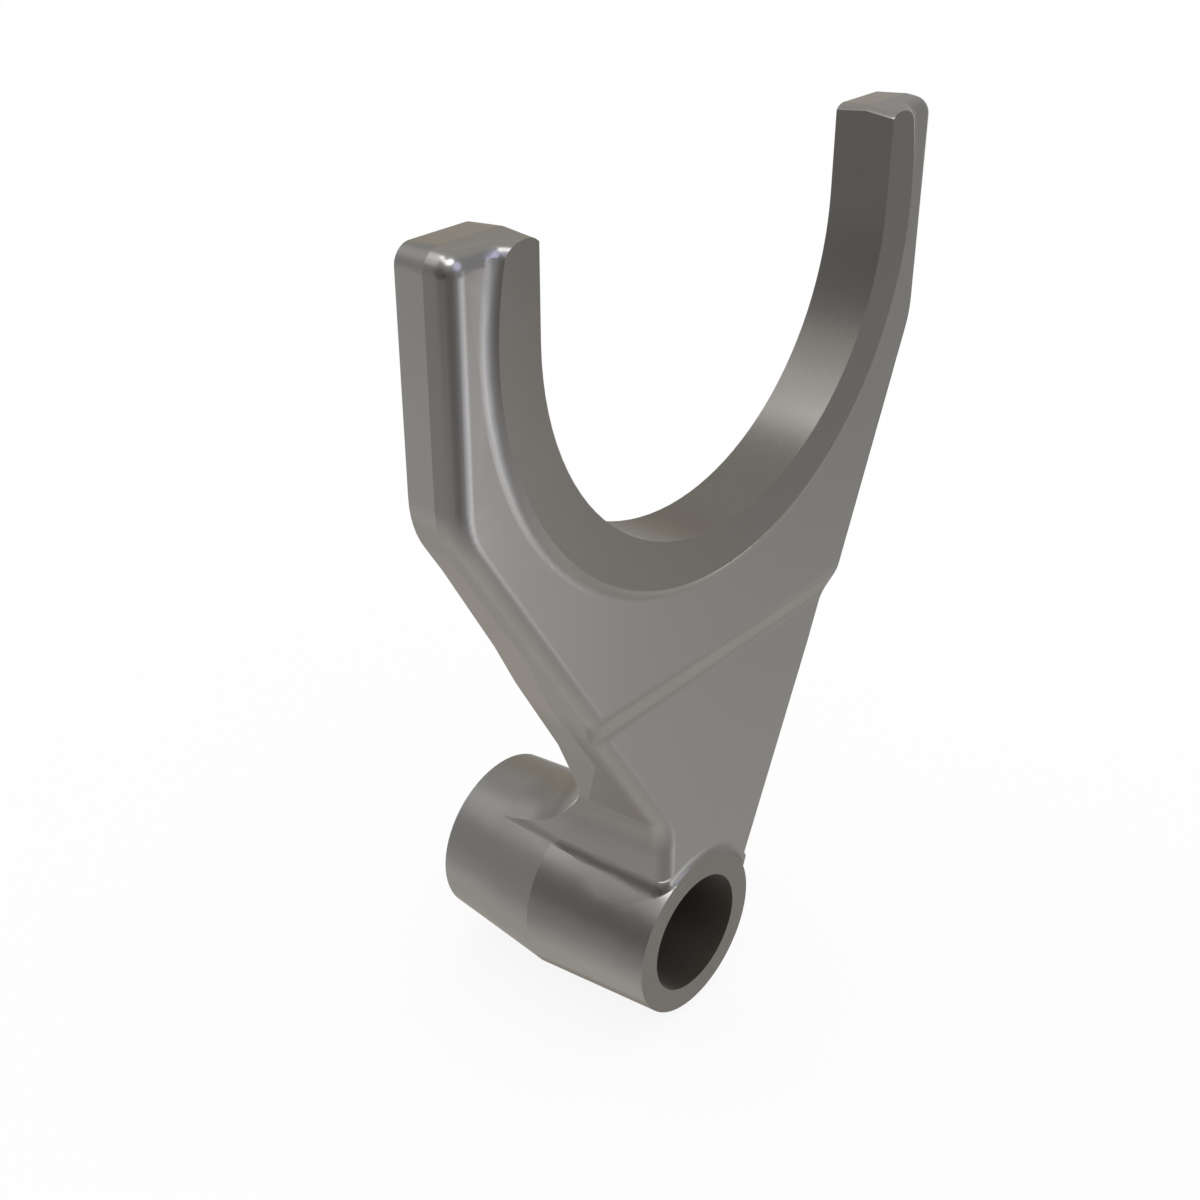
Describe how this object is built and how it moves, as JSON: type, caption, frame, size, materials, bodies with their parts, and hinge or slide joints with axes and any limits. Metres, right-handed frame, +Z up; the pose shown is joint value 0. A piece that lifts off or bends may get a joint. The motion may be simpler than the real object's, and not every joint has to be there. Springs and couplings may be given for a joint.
{
  "type": "transmission shift fork",
  "caption": "Forged steel fork with a U-shaped seat between two tines, a raised machined pad round the seat, and a bored hub that slides on a shift rail.",
  "frame": {"origin": "on the rail bore axis, in the plane midway between the two machined pad faces", "axes": "+X across the tines, +Y along the rail bore towards the long end of the hub, +Z up from the bore to the tine tips"},
  "size_m": [0.0952, 0.0419, 0.132],
  "materials": {
    "forged_steel": "satin forged steel with machined seat, pads and bore"
  },
  "bodies": {
    "root": {"shift_fork": "forged_steel"}
  },
  "joints": []
}
